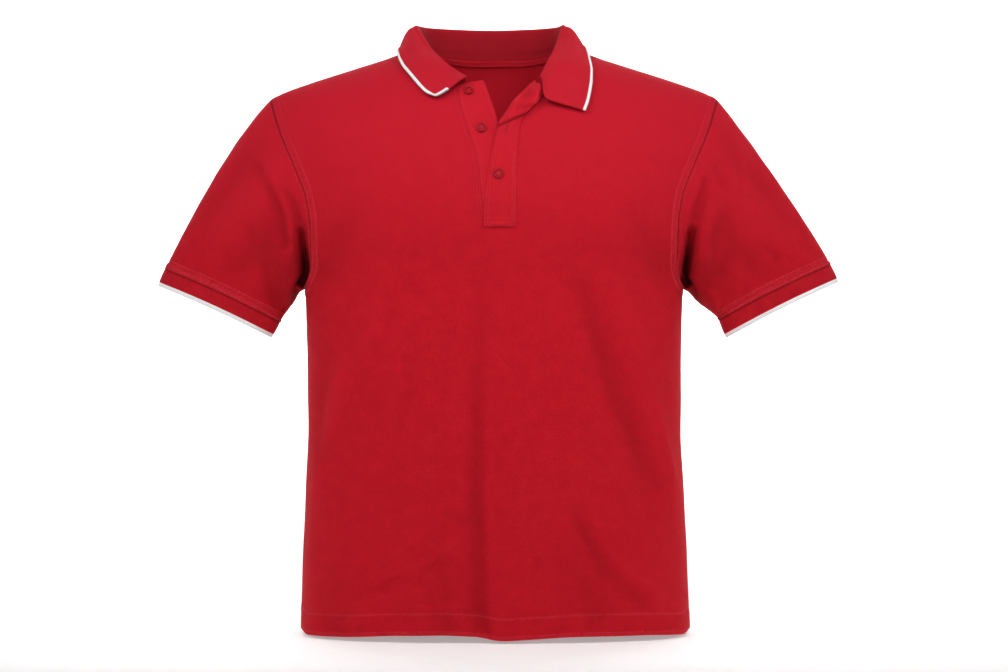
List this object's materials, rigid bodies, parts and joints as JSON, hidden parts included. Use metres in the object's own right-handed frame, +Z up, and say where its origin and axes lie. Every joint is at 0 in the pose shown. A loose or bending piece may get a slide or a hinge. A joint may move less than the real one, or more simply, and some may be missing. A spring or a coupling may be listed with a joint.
{
  "type": "polo shirt",
  "caption": "Short-sleeved knitted shirt with a turned-down collar, a buttoned neck placket, rib cuffs and a straight hem, in its worn hollow shape.",
  "frame": {"origin": "midway between the neck ends of the two shoulder seams, where the shirt hangs from its wearer", "axes": "+Z up along the body, front toward -Y, +X toward the wearer's left sleeve"},
  "size_m": [0.815, 0.2372, 0.7273],
  "materials": {
    "pique": "matt cotton pique",
    "rib": "matt flat rib knit with a white edge",
    "placket": "matt cotton pique",
    "tape": "matt cotton tape",
    "button": "satin"
  },
  "bodies": {
    "root": {"front": "pique", "back": "pique", "sleeve_left": "pique", "sleeve_right": "pique", "cuff_left": "rib", "cuff_right": "rib", "collar": "rib", "placket_top": "placket", "placket_under": "placket", "neck_tape": "tape", "button_1": "button", "button_2": "button", "button_3": "button"}
  },
  "joints": []
}
